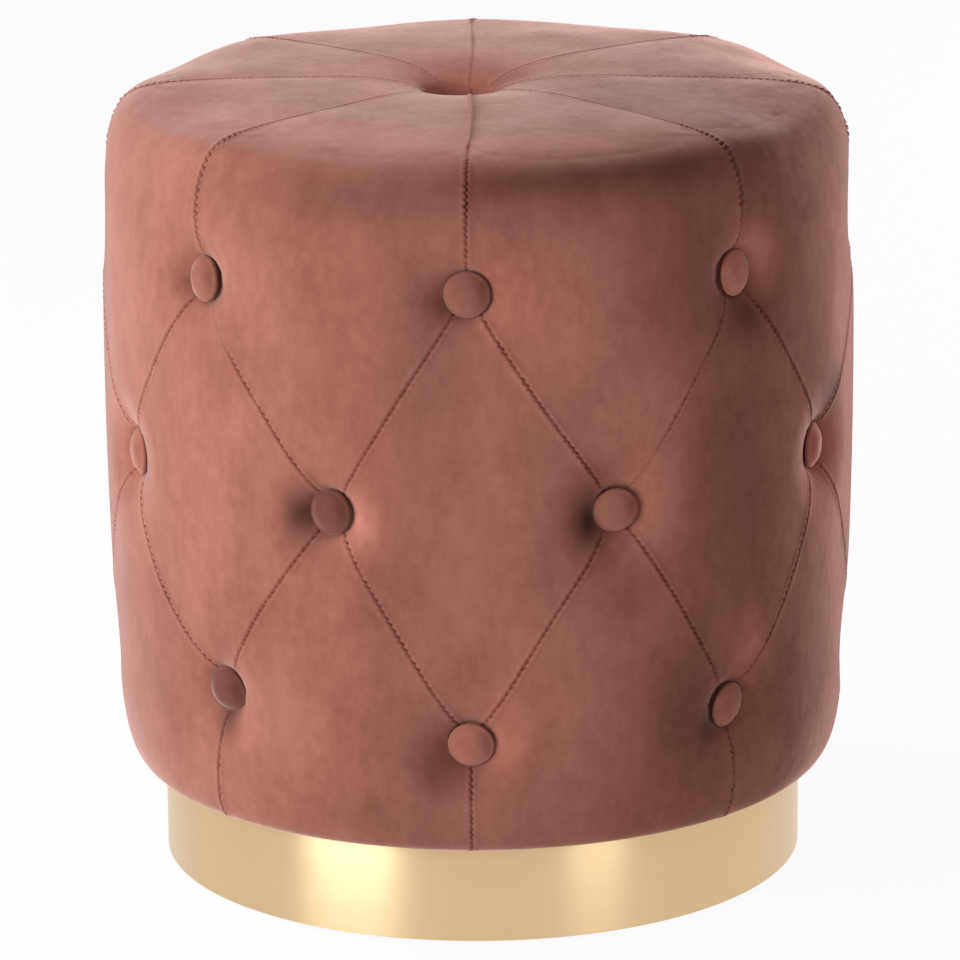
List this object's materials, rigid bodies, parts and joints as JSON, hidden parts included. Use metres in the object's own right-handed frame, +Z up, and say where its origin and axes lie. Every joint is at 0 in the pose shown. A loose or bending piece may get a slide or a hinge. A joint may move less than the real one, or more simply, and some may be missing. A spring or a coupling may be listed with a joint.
{
  "type": "tufted round pouf",
  "caption": "Round velvet-covered footstool with buttoned diamond tufting on its side, a sunken centre on top and a brass-coloured metal band round its plinth.",
  "frame": {"origin": "on the floor under the centre of the pouf, in the plane of the glides' undersides", "axes": "+Z up; -Y towards the viewer of the reference view, with a top row button facing it; +X to that viewer's right"},
  "size_m": [0.3744, 0.3744, 0.3961],
  "materials": {
    "velvet": "matte",
    "button_velvet": "matte",
    "foam": "matte",
    "board": "matte",
    "plywood": "matte",
    "band_metal": "satin",
    "glide_plastic": "matte"
  },
  "bodies": {
    "root": {"cover_gore_1": "velvet", "cover_gore_2": "velvet", "cover_gore_3": "velvet", "cover_gore_4": "velvet", "cover_gore_5": "velvet", "cover_gore_6": "velvet", "cover_gore_7": "velvet", "cover_gore_8": "velvet", "cover_diamond_1": "velvet", "cover_diamond_2": "velvet", "cover_diamond_3": "velvet", "cover_diamond_4": "velvet", "cover_diamond_5": "velvet", "cover_diamond_6": "velvet", "cover_diamond_7": "velvet", "cover_diamond_8": "velvet", "cover_skirt_1": "velvet", "cover_skirt_2": "velvet", "cover_skirt_3": "velvet", "cover_skirt_4": "velvet", "cover_skirt_5": "velvet", "cover_skirt_6": "velvet", "cover_skirt_7": "velvet", "cover_skirt_8": "velvet", "button_top_1": "button_velvet", "button_top_2": "button_velvet", "button_top_3": "button_velvet", "button_top_4": "button_velvet", "button_top_5": "button_velvet", "button_top_6": "button_velvet", "button_top_7": "button_velvet", "button_top_8": "button_velvet", "button_middle_1": "button_velvet", "button_middle_2": "button_velvet", "button_middle_3": "button_velvet", "button_middle_4": "button_velvet", "button_middle_5": "button_velvet", "button_middle_6": "button_velvet", "button_middle_7": "button_velvet", "button_middle_8": "button_velvet", "button_bottom_1": "button_velvet", "button_bottom_2": "button_velvet", "button_bottom_3": "button_velvet", "button_bottom_4": "button_velvet", "button_bottom_5": "button_velvet", "button_bottom_6": "button_velvet", "button_bottom_7": "button_velvet", "button_bottom_8": "button_velvet", "button_centre": "button_velvet", "foam_pad": "foam", "foam_wrap": "foam", "top_board": "board", "bottom_board": "board", "drum_wall": "plywood", "plinth_ring": "board", "base_band": "band_metal", "glide_1": "glide_plastic", "glide_2": "glide_plastic", "glide_3": "glide_plastic", "glide_4": "glide_plastic"}
  },
  "joints": []
}
